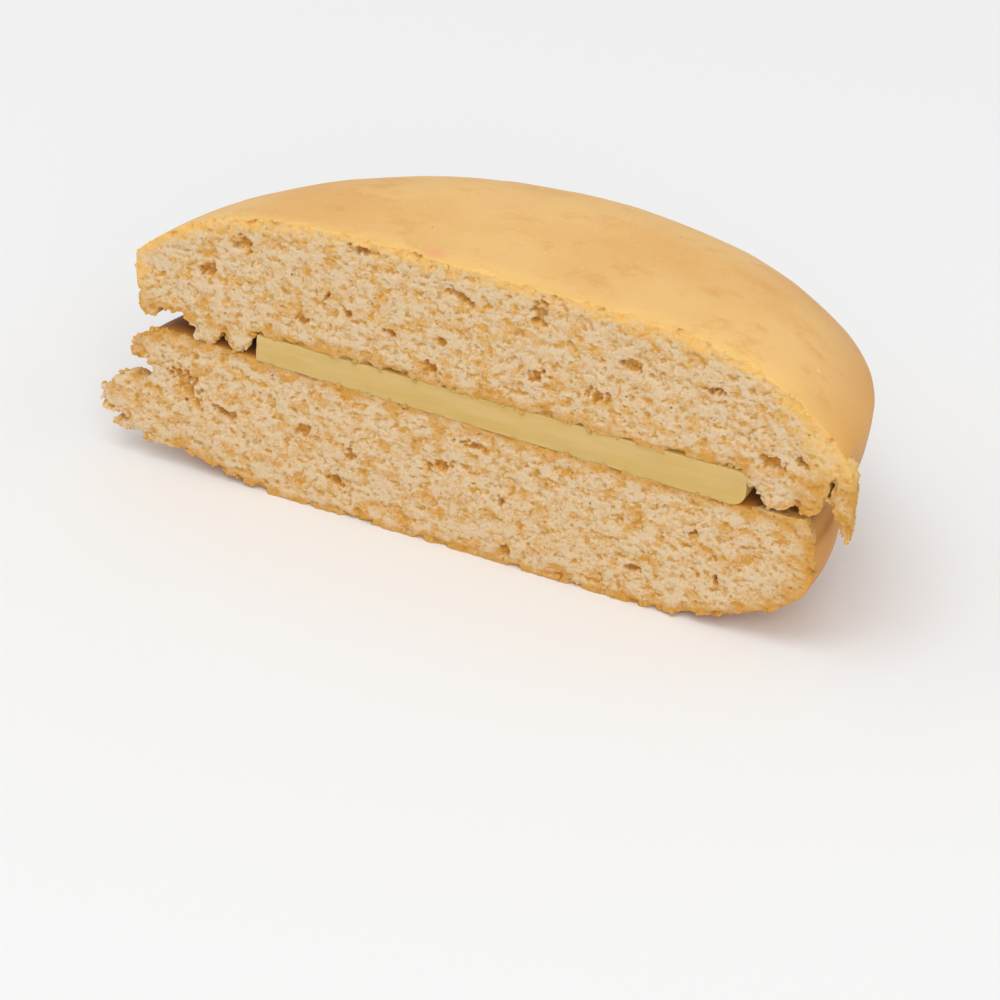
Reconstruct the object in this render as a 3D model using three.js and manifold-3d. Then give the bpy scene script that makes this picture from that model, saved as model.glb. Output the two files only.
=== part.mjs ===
// Half of a round banana sandwich cookie, cut straight down through the middle: a domed soft
// sponge cookie on top, a firm slab of banana cream, and a second sponge cookie underneath.
//
// Millimetres, +Z up. X runs along the cut face from its left end to its right end, and Y runs
// from the cut face into the half. The half rests on the flat underside of the lower cookie at
// z = 0, and the origin lies on that face, close to under the middle of the half's weight.
import * as THREE from "three";
import { mergeVertices } from "three/addons/utils/BufferGeometryUtils.js";
import { ImprovedNoise } from "three/addons/math/ImprovedNoise.js";
import Module from "manifold-3d";

const wasm = await Module();
wasm.setup();

// ---------------------------------------------------------------- driving dimensions
const CUT_Y = -17; // the cut plane, which holds the axis of all three discs
const LATHE_SIDES = 76;

const TOP = {
  radius: 40,
  offsetX: 0.15, // the two cookies were closed a little out of line
  height: 31.4, // crown of the dome
  domePower: 4.9, // how late the dome turns down
  shoulderRadius: 39.6, // ring where the dome rounds over into the side
  shoulderZ: 23.2,
  tuck: 0.6, // how much the side draws in towards its foot
  lipZ: 16.6, // foot of the rim, which hangs below the underside
  lipWidth: 2.2,
  undersideZ: 17.75,
  hollowRadius: 35.5, // where the underside starts to fall to the rim's foot
  leanRight: 0.55, // how much lower the dome is at its right end
  leanBack: 0.45, // and at its back
};

// The knife dragged the rim down at the right end of the cut, in a flap that fades to the back.
const FLAP = { x: 40.2, topZ: 21.5, width: 2.3, depth: 6, height: 7.6, fade: 0.4, raggedness: 0.12 };

const BOTTOM = {
  radius: 38.9,
  offsetX: -0.8,
  baseRadius: 22, // the flat that it was baked on
  widestZ: 10.5,
  baseCurl: 1.2, // how soon the underside lifts outside the flat
  baseTurn: 3, // how sharply it then turns up into the side
  topZ: 14.6,
  topTilt: 0.65, // the slab above is thicker on the right
  shoulderStart: 28,
  shoulderPower: 10,
};

// The left end of the lower cookie tore instead of cutting: a ragged wedge of crumb sticks out
// past the rim, and a crack parts it from the rim above.
const TATTER = {
  tipX: -43.6,
  rootX: -30,
  z: 5.9,
  tipHeight: 4.8,
  rootHeight: 7.4,
  depth: 12,
  raggedness: 0.3,
  seed: 5.3,
};
const CRACK = { x: -37.6, z: 10.6, length: 13, depth: 8, opening: 1.8, dip: 20 };

// Crumb that hangs below the underside on both sides of the slab, where the knife dragged it.
const HANGING = {
  runs: [
    { from: -33.2, to: -27.4, z: 17.3, count: 4 },
    { from: 32.8, to: 37.4, z: 16.8, count: 3 },
  ],
  width: 3.4,
  depth: 5,
  height: 3.2,
  raggedness: 0.5,
};
const RAGGED_SIZE = 0.5; // size of a chunk's lumps, as a share of the chunk
const CHUNK_DETAIL = 3;
const TATTER_DETAIL = 7;

const CREAM = {
  radius: 27.6,
  offsetX: 2.65,
  topZ: 17.55,
  thicknessLeft: 2.65,
  thicknessRight: 3.55,
  edgeRound: 1.1,
  clearance: 0.15, // kept to the cookies above and below
};

const CRUMB = {
  pitchX: 1.05, // grid of the torn face
  pitchZ: 1.0,
  swell: 0.55, // slow waves of the cut
  swellSize: 7,
  grain: 0.5, // crumbs between the pores
  grainSize: 1.7,
  poreCount: 150,
  poreMin: 0.7, // radius
  poreMax: 1.7,
  poreStretch: 1.5, // pores lie flat, as the dough spread
  poreDepth: 0.75, // depth as a share of the radius
};

const SKIN = { swell: 0.3, swellSize: 15 }; // uneven baked surface

const noise = new ImprovedNoise();

// ---------------------------------------------------------------- helpers
function seededDraws(seed) {
  let state = seed;
  return (low, high) => {
    state = (state * 16807) % 2147483647;
    return low + ((high - low) * state) / 2147483647;
  };
}

function solidOf(geometry) {
  const bare = geometry.clone();
  bare.deleteAttribute("normal");
  bare.deleteAttribute("uv");
  const merged = mergeVertices(bare, 1e-4);
  return new wasm.Manifold(
    new wasm.Mesh({
      numProp: 3,
      vertProperties: merged.attributes.position.array,
      triVerts: new Uint32Array(merged.index.array),
    }),
  );
}

function geometryOf(solid) {
  const mesh = solid.getMesh();
  return new THREE.BufferGeometry()
    .setAttribute("position", new THREE.BufferAttribute(mesh.vertProperties, 3))
    .setIndex(new THREE.BufferAttribute(mesh.triVerts, 1));
}

function moveVertices(geometry, move) {
  const position = geometry.attributes.position;
  const point = new THREE.Vector3();
  for (let i = 0; i < position.count; i++) {
    point.fromBufferAttribute(position, i);
    move(point);
    position.setXYZ(i, point.x, point.y, point.z);
  }
  return geometry;
}

// A disc turned from a profile of (radius, height) points that runs from its foot to its crown.
function turned(profile, offsetX) {
  return new THREE.LatheGeometry(profile, LATHE_SIDES)
    .rotateX(Math.PI / 2)
    .translate(offsetX, CUT_Y, 0);
}

// Which way a point lies from a disc's axis, as shares to the right and to the back, and how far.
function bearing(p, offsetX) {
  const [dx, dy] = [p.x - offsetX, p.y - CUT_Y];
  const r = Math.hypot(dx, dy);
  return { r, right: dx / (r + 1e-6), back: dy / (r + 1e-6) };
}

// Evenly spaced shares from 0 to 1 that crowd towards 1, for curves that end upright.
function crowdedShares(count) {
  return Array.from({ length: count + 1 }, (_, i) => Math.sin((i / count) * (Math.PI / 2)));
}

// ---------------------------------------------------------------- the torn face
// How far the crumb lies behind the cut plane at a place on the face.
const draw = seededDraws(4127);
const pores = Array.from({ length: CRUMB.poreCount }, () => ({
  x: draw(-TOP.radius, TOP.radius),
  z: draw(0, TOP.height),
  radius: draw(CRUMB.poreMin, CRUMB.poreMax),
}));

function crumbDepth(x, z) {
  const swell = noise.noise(x / CRUMB.swellSize, z / CRUMB.swellSize, 0.5);
  const grain = noise.noise(x / CRUMB.grainSize, z / CRUMB.grainSize, 9.5);
  let depth = CRUMB.swell * (1 + swell) + CRUMB.grain * grain;
  for (const pore of pores) {
    const across = (x - pore.x) / (pore.radius * CRUMB.poreStretch);
    const up = (z - pore.z) / pore.radius;
    const hollow = 1 - across * across - up * up;
    if (hollow > 0) depth += CRUMB.poreDepth * pore.radius * Math.sqrt(hollow);
  }
  return depth;
}

// The space behind the cut, a block whose front is the torn face.
function cutBlock(pitchX, pitchZ, depthAt) {
  const [width, depth, height, below] = [100, 60, 36, -2];
  const block = new THREE.BoxGeometry(
    width,
    depth,
    height,
    Math.round(width / pitchX),
    1,
    Math.round(height / pitchZ),
  ).translate(0, depth / 2 + CUT_Y, height / 2 + below);
  return solidOf(
    moveVertices(block, (p) => {
      if (p.y < CUT_Y + depth / 2) p.y = CUT_Y + depthAt(p.x, p.z);
    }),
  );
}

// An uneven chunk of torn crumb, a blunt unit ball that the given move then shapes and places.
function chunk(detail, raggedness, seed, shape) {
  return solidOf(
    moveVertices(new THREE.IcosahedronGeometry(1, detail), (p) => {
      const q = p.clone().divideScalar(RAGGED_SIZE);
      const blunt = 1 / Math.sqrt(Math.max(Math.abs(p.x), Math.abs(p.y), Math.abs(p.z)));
      p.multiplyScalar(blunt * (1 + raggedness * noise.noise(q.x + seed, q.y, q.z)));
      shape(p);
    }),
  );
}

// ---------------------------------------------------------------- the upper cookie
// From the middle of the underside, round the rim's foot, up the side and over the dome.
function topProfile() {
  const { radius, height, domePower, shoulderRadius, shoulderZ, tuck } = TOP;
  const { lipZ, lipWidth, undersideZ, hollowRadius } = TOP;
  const points = [0, 16, 27, 32, hollowRadius].map((r) => new THREE.Vector2(r, undersideZ));

  // the foot is a half round as wide as the lip
  const footRadius = radius - tuck - lipWidth / 2;
  const footSteps = 4;
  for (let step = 0; step <= footSteps; step++) {
    const angle = Math.PI * (1 + step / footSteps);
    points.push(
      new THREE.Vector2(
        footRadius + (lipWidth / 2) * Math.cos(angle),
        lipZ + (lipWidth / 2) * (1 + Math.sin(angle)),
      ),
    );
  }

  // the shoulder is an arc that meets the side upright and the dome at the dome's own slope
  const drop = height - shoulderZ;
  const slope = Math.atan((drop * domePower) / shoulderRadius);
  const arcRadius = (radius - shoulderRadius) / (1 - Math.sin(slope));
  const arcSteps = 3;

  // the side swells from its foot to where the shoulder starts
  const sideZ = lipZ + lipWidth / 2;
  const widestZ = shoulderZ - arcRadius * Math.cos(slope);
  for (const share of [0.25, 0.5, 0.75])
    points.push(
      new THREE.Vector2(
        radius - tuck * (1 - share) * (1 - share),
        THREE.MathUtils.lerp(sideZ, widestZ, share),
      ),
    );
  for (let step = 0; step <= arcSteps; step++) {
    const angle = (step / arcSteps) * (Math.PI / 2 - slope);
    points.push(
      new THREE.Vector2(
        radius - arcRadius * (1 - Math.cos(angle)),
        shoulderZ - arcRadius * (Math.cos(slope) - Math.sin(angle)),
      ),
    );
  }
  for (const share of crowdedShares(11).reverse().slice(1))
    points.push(
      new THREE.Vector2(share * shoulderRadius, height - drop * Math.pow(share, domePower)),
    );
  return points;
}

function topCookie() {
  const { radius, offsetX, hollowRadius, undersideZ, leanRight, leanBack } = TOP;
  const disc = moveVertices(turned(topProfile(), offsetX), (p) => {
    const { right, back, r } = bearing(p, offsetX);
    const atRim = THREE.MathUtils.smoothstep(r, hollowRadius, radius - 1);
    if (p.z > undersideZ + 0.1) {
      p.z -= ((leanRight * right + leanBack * back) * r) / radius;
      p.z += SKIN.swell * noise.noise(p.x / SKIN.swellSize, p.y / SKIN.swellSize, 3.3);
    }
    const bulge = SKIN.swell * atRim * noise.noise(3 * right, 3 * back, 7.7);
    p.x += right * bulge;
    p.y += back * bulge;
  });
  return solidOf(disc).add(hangingCrumb()).add(flap()).intersect(crumbBlock);
}

function flap() {
  const { x, topZ, width, depth, height, fade, raggedness } = FLAP;
  return chunk(CHUNK_DETAIL, raggedness, x, (p) => {
    const faded = 1 - fade * p.y * p.y;
    p.x = x + (p.x * width * faded) / 2;
    p.y = CUT_Y + (p.y * depth) / 2;
    p.z = topZ + ((p.z - 1) * height * faded) / 2;
  });
}

function hangingCrumb() {
  const drawPlace = seededDraws(77);
  const chunks = [];
  for (const { from, to, z, count } of HANGING.runs)
    for (let i = 0; i < count; i++) {
      const x = THREE.MathUtils.lerp(from, to, i / (count - 1)) + drawPlace(-0.3, 0.3);
      const chunkZ = z + drawPlace(-0.3, 0.4);
      chunks.push(
        chunk(CHUNK_DETAIL, HANGING.raggedness, x, (p) => {
          p.x = x + (p.x * HANGING.width) / 2;
          p.y = CUT_Y + (p.y * HANGING.depth) / 2;
          p.z = chunkZ + (p.z * HANGING.height) / 2;
        }),
      );
    }
  return wasm.Manifold.union(chunks);
}

// ---------------------------------------------------------------- the lower cookie
function bottomProfile() {
  const { radius, baseRadius, widestZ, baseCurl, baseTurn, topZ } = BOTTOM;
  const { shoulderStart, shoulderPower } = BOTTOM;
  const points = [new THREE.Vector2(0, 0), new THREE.Vector2(baseRadius, 0)];
  for (const share of crowdedShares(12).slice(1))
    points.push(
      new THREE.Vector2(
        THREE.MathUtils.lerp(baseRadius, radius, share),
        widestZ * (1 - Math.pow(1 - Math.pow(share, baseCurl), 1 / baseTurn)),
      ),
    );
  for (const share of crowdedShares(8).reverse().slice(1))
    points.push(
      new THREE.Vector2(
        THREE.MathUtils.lerp(shoulderStart, radius, share),
        topZ - (topZ - widestZ) * Math.pow(share, shoulderPower),
      ),
    );
  points.push(new THREE.Vector2(14, topZ), new THREE.Vector2(0, topZ));
  return points;
}

function bottomCookie() {
  const { radius, offsetX, baseRadius, widestZ, topTilt } = BOTTOM;
  const disc = moveVertices(turned(bottomProfile(), offsetX), (p) => {
    const { right, back, r } = bearing(p, offsetX);
    const atRim = THREE.MathUtils.smoothstep(r, baseRadius, radius);
    const bulge = 2 * SKIN.swell * atRim * noise.noise(3 * right, 3 * back, 1.9);
    p.x += right * bulge;
    p.y += back * bulge;
    if (p.z > widestZ) p.z -= (topTilt * right * r) / radius;
  });
  return solidOf(disc).add(tatter()).subtract(crack()).intersect(crumbBlock);
}

function tatter() {
  const { tipX, rootX, z, tipHeight, rootHeight, depth, raggedness, seed } = TATTER;
  return chunk(TATTER_DETAIL, raggedness, seed, (p) => {
    const towardsRoot = (p.x + 1) / 2;
    p.x = THREE.MathUtils.lerp(tipX, rootX, towardsRoot);
    p.y = CUT_Y + (p.y * depth) / 2;
    p.z = z + (p.z * THREE.MathUtils.lerp(tipHeight, rootHeight, towardsRoot)) / 2;
  });
}

function crack() {
  const { x, z, length, depth, opening, dip } = CRACK;
  return solidOf(
    new THREE.IcosahedronGeometry(1, 2)
      .scale(length / 2, depth, opening / 2)
      .rotateY(THREE.MathUtils.degToRad(dip))
      .translate(x, CUT_Y, z),
  );
}

// ---------------------------------------------------------------- the banana cream
function creamSlab() {
  const { radius, offsetX, topZ, thicknessLeft, thicknessRight, edgeRound, clearance } = CREAM;
  const thickness = (thicknessLeft + thicknessRight) / 2;
  const footZ = topZ - thickness + clearance;
  const profile = [new THREE.Vector2(0, footZ), new THREE.Vector2(radius - 6, footZ)];
  for (let step = 0; step <= 4; step++) {
    const angle = (step / 4) * (Math.PI / 2);
    profile.push(
      new THREE.Vector2(
        radius - edgeRound + edgeRound * Math.sin(angle),
        footZ + edgeRound - edgeRound * Math.cos(angle),
      ),
    );
  }
  profile.push(new THREE.Vector2(radius, topZ - 0.2), new THREE.Vector2(radius - 0.2, topZ));
  profile.push(new THREE.Vector2(0, topZ));
  const disc = moveVertices(turned(profile, offsetX), (p) => {
    if (p.z < topZ - 0.5) p.z -= ((thicknessRight - thicknessLeft) / 2) * ((p.x - offsetX) / radius);
  });
  const smoothCut = cutBlock(1.6, 1.2, (x, z) => 0.5 + 0.12 * noise.noise(x / 2.5, z / 4, 5.5));
  return solidOf(disc).intersect(smoothCut);
}

// ---------------------------------------------------------------- assembly
const crumbBlock = cutBlock(CRUMB.pitchX, CRUMB.pitchZ, crumbDepth);

function baked(color) {
  return new THREE.MeshStandardMaterial({ color, roughness: 0.85, metalness: 0 });
}

function part(name, solid, material) {
  const mesh = new THREE.Mesh(geometryOf(solid), material);
  mesh.name = name;
  return mesh;
}

const cookie = new THREE.Group();
cookie.name = "banana_sandwich_cookie_half";
cookie.add(
  part("top_cookie", topCookie(), baked(0xe6b873)),
  part("banana_cream", creamSlab(), baked(0xdcc07c)),
  part("bottom_cookie", bottomCookie(), baked(0xd9b27a)),
);

export default cookie;
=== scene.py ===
# Half of a round banana sandwich cookie, cut straight down through the middle: two soft sponge
# cookies with a firm slab of banana cream between them.
#
# Metres, +Z up. X runs along the cut face from its left end to its right end, Y runs from the
# cut face into the half, and the half rests on its flat base at z = 0.
import math
import random

import bpy
from mathutils import Matrix, Vector
from mathutils.bvhtree import BVHTree


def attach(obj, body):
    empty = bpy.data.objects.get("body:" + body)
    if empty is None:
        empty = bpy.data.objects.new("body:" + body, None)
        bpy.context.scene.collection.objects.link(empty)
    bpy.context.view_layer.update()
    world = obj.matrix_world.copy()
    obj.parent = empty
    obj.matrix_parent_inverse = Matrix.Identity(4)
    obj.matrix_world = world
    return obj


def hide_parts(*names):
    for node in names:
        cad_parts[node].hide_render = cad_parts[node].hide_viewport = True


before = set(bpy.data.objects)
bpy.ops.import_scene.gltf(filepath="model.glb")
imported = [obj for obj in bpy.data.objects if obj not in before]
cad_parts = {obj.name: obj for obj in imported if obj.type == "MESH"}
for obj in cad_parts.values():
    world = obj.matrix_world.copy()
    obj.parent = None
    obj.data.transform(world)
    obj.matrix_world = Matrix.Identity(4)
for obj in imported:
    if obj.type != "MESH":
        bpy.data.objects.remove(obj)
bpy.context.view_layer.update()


# ---------------------------------------------------------------------- the lower cookie
# A soft sponge disc, baked on a flat tray so that its underside is flat and its rim is round.
# It is spun from its profile and cut by a block whose front is the torn crumb. Its left end
# tore instead of cutting: ragged chunks stick out past the rim, with a crack above them.
MM = 0.001
CUT_Y = -17 * MM  # the plane that the knife went through, which holds the axis of all three discs
FACE_SETBACK = 0.2 * MM  # keeps the torn crumb's fine relief behind that plane
BOTTOM_RADIUS = 38.9 * MM
BOTTOM_CENTRE_X = -0.8 * MM
BASE_RADIUS = 22 * MM
WIDEST_Z = 10.5 * MM
BASE_CURL = 1.2  # these two powers shape the curve from the flat base up to the widest height
BASE_TURN = 3
BASE_STEPS = 26
BOTTOM_TOP_Z = 14.6 * MM
BOTTOM_TOP_TILT = math.radians(0.95)  # down to the right
TILT_CLEARANCE = 1.5 * MM
SHOULDER_START = 28 * MM
SHOULDER_POWER = 10
SHOULDER_STEPS = 18
DISC_STEPS = 320


def deselect_all():
    bpy.ops.object.select_all(action="DESELECT")


def set_active(piece):
    deselect_all()
    piece.select_set(True)
    bpy.context.view_layer.objects.active = piece


def join_all(pieces):
    """Makes all the pieces one object, the first of them."""
    set_active(pieces[0])
    for piece in pieces:
        piece.select_set(True)
    bpy.ops.object.join()
    return pieces[0]


def between(low, high, share):
    return low + (high - low) * share


def clamp(share):
    return max(0, min(1, share))


def crowded(count):
    """Evenly spaced shares from 0 to 1 that crowd towards 1, for curves that end upright."""
    return [math.sin(i / count * math.pi / 2) for i in range(count + 1)]


def spin_disc(name, profile, centre_x):
    """A disc spun from a profile of (radius, height) points that starts and ends on its axis."""
    deselect_all()
    bpy.ops.mesh.primitive_plane_add(size=MM)
    disc = bpy.context.object
    disc.name = name
    bpy.ops.object.mode_set(mode="EDIT")
    bpy.ops.mesh.select_mode(type="VERT")
    bpy.ops.mesh.merge(type="CENTER")
    bpy.ops.transform.translate(value=(profile[0][0], 0, profile[0][1]))
    for (radius, height), (next_radius, next_height) in zip(profile, profile[1:]):
        step = (next_radius - radius, 0, next_height - height)
        bpy.ops.mesh.extrude_region_move(TRANSFORM_OT_translate={"value": step})
    bpy.ops.mesh.select_all(action="SELECT")
    bpy.ops.mesh.spin(steps=DISC_STEPS, angle=2 * math.pi, center=(0, 0, 0), axis=(0, 0, 1))
    bpy.ops.mesh.select_all(action="SELECT")
    bpy.ops.mesh.remove_doubles(threshold=0.01 * MM)
    bpy.ops.mesh.normals_make_consistent(inside=False)
    bpy.ops.transform.translate(value=(centre_x, CUT_Y, 0))
    bpy.ops.object.mode_set(mode="OBJECT")
    return disc


def tilt_points(piece, wanted, angle, centre, axis="Y"):
    """Turns the points whose place passes the test about an axis through the disc's middle."""
    set_active(piece)
    bpy.ops.object.mode_set(mode="EDIT")
    bpy.ops.mesh.select_mode(type="VERT")
    bpy.ops.mesh.select_all(action="DESELECT")
    bpy.ops.object.mode_set(mode="OBJECT")
    for vertex in piece.data.vertices:
        vertex.select = wanted(vertex.co)
    bpy.ops.object.mode_set(mode="EDIT")
    bpy.ops.transform.rotate(value=-angle, orient_axis=axis, center_override=centre)
    bpy.ops.object.mode_set(mode="OBJECT")


def noise(name, size, ramp=None, **settings):
    """A cloudy noise with lumps of that size, its values steepened between two stops."""
    texture = bpy.data.textures.new(name, "CLOUDS")
    texture.noise_scale = size
    for setting, value in settings.items():
        setattr(texture, setting, value)
    if ramp:
        texture.use_color_ramp = True
        texture.color_ramp.interpolation = "EASE"
        low, high = texture.color_ramp.elements
        low.position, high.position = ramp
        low.color = (0, 0, 0, 1)
        high.color = (1, 1, 1, 1)
    return texture


def displace(piece, texture, depth, direction="NORMAL", middle=0.5, stretch=(1, 1, 1), group=""):
    """Pushes the surface by a noise that is read in a stretched space, or all alike."""
    deselect_all()
    bpy.ops.object.empty_add()
    space = bpy.context.object
    space.scale = stretch
    bpy.context.view_layer.update()
    set_active(piece)
    modifier = piece.modifiers.new("relief", "DISPLACE")
    modifier.texture = texture
    modifier.texture_coords = "OBJECT"
    modifier.texture_coords_object = space
    modifier.direction = direction
    modifier.strength = depth
    modifier.mid_level = middle
    modifier.vertex_group = group
    bpy.ops.object.modifier_apply(modifier=modifier.name)
    bpy.data.objects.remove(space)


def combine(piece, other, operation):
    """Joins, cuts or keeps what is common to both, and removes the other solid."""
    set_active(piece)
    modifier = piece.modifiers.new("combine", "BOOLEAN")
    modifier.object = other
    modifier.operation = operation
    modifier.solver = "MANIFOLD"
    bpy.ops.object.modifier_apply(modifier=modifier.name)
    bpy.data.objects.remove(other)


def surface_of(piece):
    """The piece's surface as it is now, to measure how far things lie from it."""
    return BVHTree.FromObject(piece, bpy.context.evaluated_depsgraph_get())


def cut_block(width, foot_z, crown_z, pitch, relief):
    """A block that reaches back from the cut plane, its front pushed in and out by the relief."""
    height = crown_z - foot_z
    deselect_all()
    bpy.ops.mesh.primitive_grid_add(
        x_subdivisions=round(width / pitch),
        y_subdivisions=round(height / pitch),
        size=1,
        location=(0, CUT_Y + FACE_SETBACK, foot_z + height / 2),
        rotation=(math.pi / 2, 0, 0),
    )
    block = bpy.context.object
    block.scale = (width, height, 1)
    bpy.ops.object.transform_apply(location=True, rotation=True, scale=True)
    relief(block)
    bpy.ops.object.mode_set(mode="EDIT")
    bpy.ops.mesh.select_mode(type="EDGE")
    bpy.ops.mesh.select_all(action="DESELECT")
    bpy.ops.mesh.select_non_manifold()
    bpy.ops.mesh.extrude_region_move(TRANSFORM_OT_translate={"value": (0, CUT_DEPTH, 0)})
    bpy.ops.mesh.edge_face_add()
    bpy.ops.mesh.select_all(action="SELECT")
    bpy.ops.mesh.normals_make_consistent(inside=False)
    bpy.ops.object.mode_set(mode="OBJECT")
    return block


# Torn crumb: slow waves of the cut, shallow hollows, pores in them, fine torn walls between
# the pores, and a few large gas pockets. It is tighter just behind the outer surface, and the
# edge there is nibbled. Pores and hollows lie flat, because the dough spread as it baked.
CUT_WIDTH = 92 * MM
CUT_DEPTH = 60 * MM
CRUMB_PITCH = 0.13 * MM
TIGHT_CRUMB = 0.8 * MM
TIGHT_SHARE = 0.5
WAVE_DEPTH = 0.7 * MM
NIBBLE_DEPTH = 0.8 * MM
HOLLOW_DEPTH = 0.25 * MM
PORE_DEPTH = 0.17 * MM
WALL_RELIEF = 0.08 * MM
TEAR_REACH = 0.22 * MM
POCKET_DEPTH = 0.7 * MM
POCKET_REACH = 3 * MM
POCKET_RIM = 1.15
POCKET_STEEPNESS = 1.4
POCKET_WANDER = 2.6
LOOSE_CRUMB = "loose_crumb"
GAS_POCKET = "gas_pocket"
BY_SURFACE = "by_surface"
FLAT_LYING = (1.25, 1.25, 1)
crumb_swell = noise("crumb_swell", 7 * MM)
hollows = noise("hollows", 1.6 * MM, (0.5, 0.72), noise_depth=2)
pores = noise("pores", 0.7 * MM, (0.54, 0.68), noise_depth=2)
torn_walls = noise("torn_walls", 0.4 * MM, noise_depth=2)
crumb_tears = noise("crumb_tears", 0.3 * MM, cloud_type="COLOR", noise_depth=2)
pocket_edges = noise("pocket_edges", 0.7 * MM, noise_depth=2)
nibbles = noise("nibbles", 1.5 * MM, (0.48, 0.7), noise_depth=2)


def in_pocket(place, pockets):
    """How far in a gas pocket a point of the cut lies, from 0 at its ragged rim to 1."""
    share = 0
    for x, z, width, height, turn in pockets:
        across, up = place.x - x * MM, place.z - z * MM
        if max(abs(across), abs(up)) < POCKET_REACH:
            cosine, sine = math.cos(math.radians(turn)), math.sin(math.radians(turn))
            along = (across * cosine - up * sine) / (width / 2 * MM)
            beside = (up * cosine + across * sine) / (height / 2 * MM)
            wander = POCKET_WANDER * (pocket_edges.evaluate(place)[3] - 0.5)
            within = POCKET_RIM - math.hypot(along, beside) + wander
            share = max(share, clamp(POCKET_STEEPNESS * within))
    return share


def tear(block, outside, pockets):
    """Gives the block's front the relief of torn crumb."""
    names = (LOOSE_CRUMB, GAS_POCKET, BY_SURFACE)
    groups = {name: block.vertex_groups.new(name=name) for name in names}
    for vertex in block.data.vertices:
        behind = clamp(outside.find_nearest(vertex.co)[3] / TIGHT_CRUMB)
        groups[LOOSE_CRUMB].add([vertex.index], between(TIGHT_SHARE, 1, behind), "REPLACE")
        groups[BY_SURFACE].add([vertex.index], 1 - behind, "REPLACE")
        groups[GAS_POCKET].add([vertex.index], in_pocket(vertex.co, pockets), "REPLACE")
    displace(block, crumb_swell, WAVE_DEPTH, "Y", middle=0)
    displace(block, None, POCKET_DEPTH, "Y", middle=0, group=GAS_POCKET)
    displace(block, nibbles, NIBBLE_DEPTH, "Y", middle=0, group=BY_SURFACE)
    displace(block, hollows, HOLLOW_DEPTH, "Y", middle=0, stretch=FLAT_LYING, group=LOOSE_CRUMB)
    displace(block, pores, PORE_DEPTH, "Y", middle=0, stretch=FLAT_LYING, group=LOOSE_CRUMB)
    displace(block, torn_walls, WALL_RELIEF, "Y", group=LOOSE_CRUMB)
    displace(block, crumb_tears, TEAR_REACH, "RGB_TO_XYZ", group=LOOSE_CRUMB)


SLAB_FRONT = 3 * MM  # how far a slab stands out in front of the cut, before the cut is made
SLAB_VOXEL = 0.2 * MM
SLAB_TEARS = 0.6 * MM
CHUNK_TEARS = 0.5 * MM
slab_tears = noise("slab_tears", 0.5 * MM, cloud_type="COLOR", noise_depth=2)


def torn_slab(outline, depth, taper=0.8):
    """Ragged crumb with that outline of (x, z) on the cut, in mm. It runs a third of its depth
    straight back and narrows over the rest."""
    deselect_all()
    bpy.ops.mesh.primitive_plane_add(size=MM)
    slab = bpy.context.object
    bpy.ops.object.mode_set(mode="EDIT")
    bpy.ops.mesh.select_mode(type="VERT")
    bpy.ops.mesh.merge(type="CENTER")
    bpy.ops.transform.translate(value=(outline[0][0] * MM, CUT_Y - SLAB_FRONT, outline[0][1] * MM))
    for (x, z), (next_x, next_z) in zip(outline, outline[1:]):
        step = ((next_x - x) * MM, 0, (next_z - z) * MM)
        bpy.ops.mesh.extrude_region_move(TRANSFORM_OT_translate={"value": step})
    bpy.ops.mesh.select_all(action="SELECT")
    bpy.ops.mesh.edge_face_add()
    straight = {"value": (0, SLAB_FRONT + depth / 3 * MM, 0)}
    narrowing = {"value": (0, depth * 2 / 3 * MM, 0)}
    middle = [sum(point[axis] for point in outline) / len(outline) * MM for axis in (0, 1)]
    bpy.ops.mesh.extrude_region_move(TRANSFORM_OT_translate=straight)
    bpy.ops.mesh.extrude_region_move(TRANSFORM_OT_translate=narrowing)
    bpy.ops.transform.resize(value=(taper, 1, taper), center_override=(middle[0], 0, middle[1]))
    bpy.ops.mesh.select_all(action="SELECT")
    bpy.ops.mesh.normals_make_consistent(inside=False)
    bpy.ops.object.mode_set(mode="OBJECT")
    remesh = slab.modifiers.new("remesh", "REMESH")
    remesh.mode = "VOXEL"
    remesh.voxel_size = SLAB_VOXEL
    bpy.ops.object.modifier_apply(modifier=remesh.name)
    displace(slab, slab_tears, SLAB_TEARS, "RGB_TO_XYZ")
    return slab


def crumb_chunk(x, z, width, depth, height):
    """A ragged chunk of torn crumb whose middle lies on the cut plane. In mm."""
    deselect_all()
    bpy.ops.mesh.primitive_ico_sphere_add(
        subdivisions=5, radius=1, location=(x * MM, CUT_Y, z * MM)
    )
    chunk = bpy.context.object
    chunk.scale = (width / 2 * MM, depth / 2 * MM, height / 2 * MM)
    bpy.ops.object.transform_apply(location=True, rotation=True, scale=True)
    displace(chunk, slab_tears, CHUNK_TEARS, "RGB_TO_XYZ")
    return chunk


# A fringe's chunks vary in width, height, gap and level, all in mm.
FRINGE_WIDTHS = (1.2, 3.6)
FRINGE_HEIGHTS = (0.6, 1.0)
FRINGE_GAPS = (0.6, 2.4)
FRINGE_LEVELS = (-0.1, 0.1)
FRINGE_DEPTH = 3


def crumb_fringe(start_x, end_x, start_z, end_z, seed):
    """Flat chunks in a broken row along an edge of the cut, as one object. In mm."""
    draw = random.Random(seed)
    chunks = []
    x = start_x
    while x < end_x:
        width = draw.uniform(*FRINGE_WIDTHS)
        z = between(start_z, end_z, (x - start_x) / (end_x - start_x))
        z += draw.uniform(*FRINGE_LEVELS)
        chunks.append(crumb_chunk(x, z, width, FRINGE_DEPTH, draw.uniform(*FRINGE_HEIGHTS)))
        x += width + draw.uniform(*FRINGE_GAPS)
    return join_all(chunks)


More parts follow.
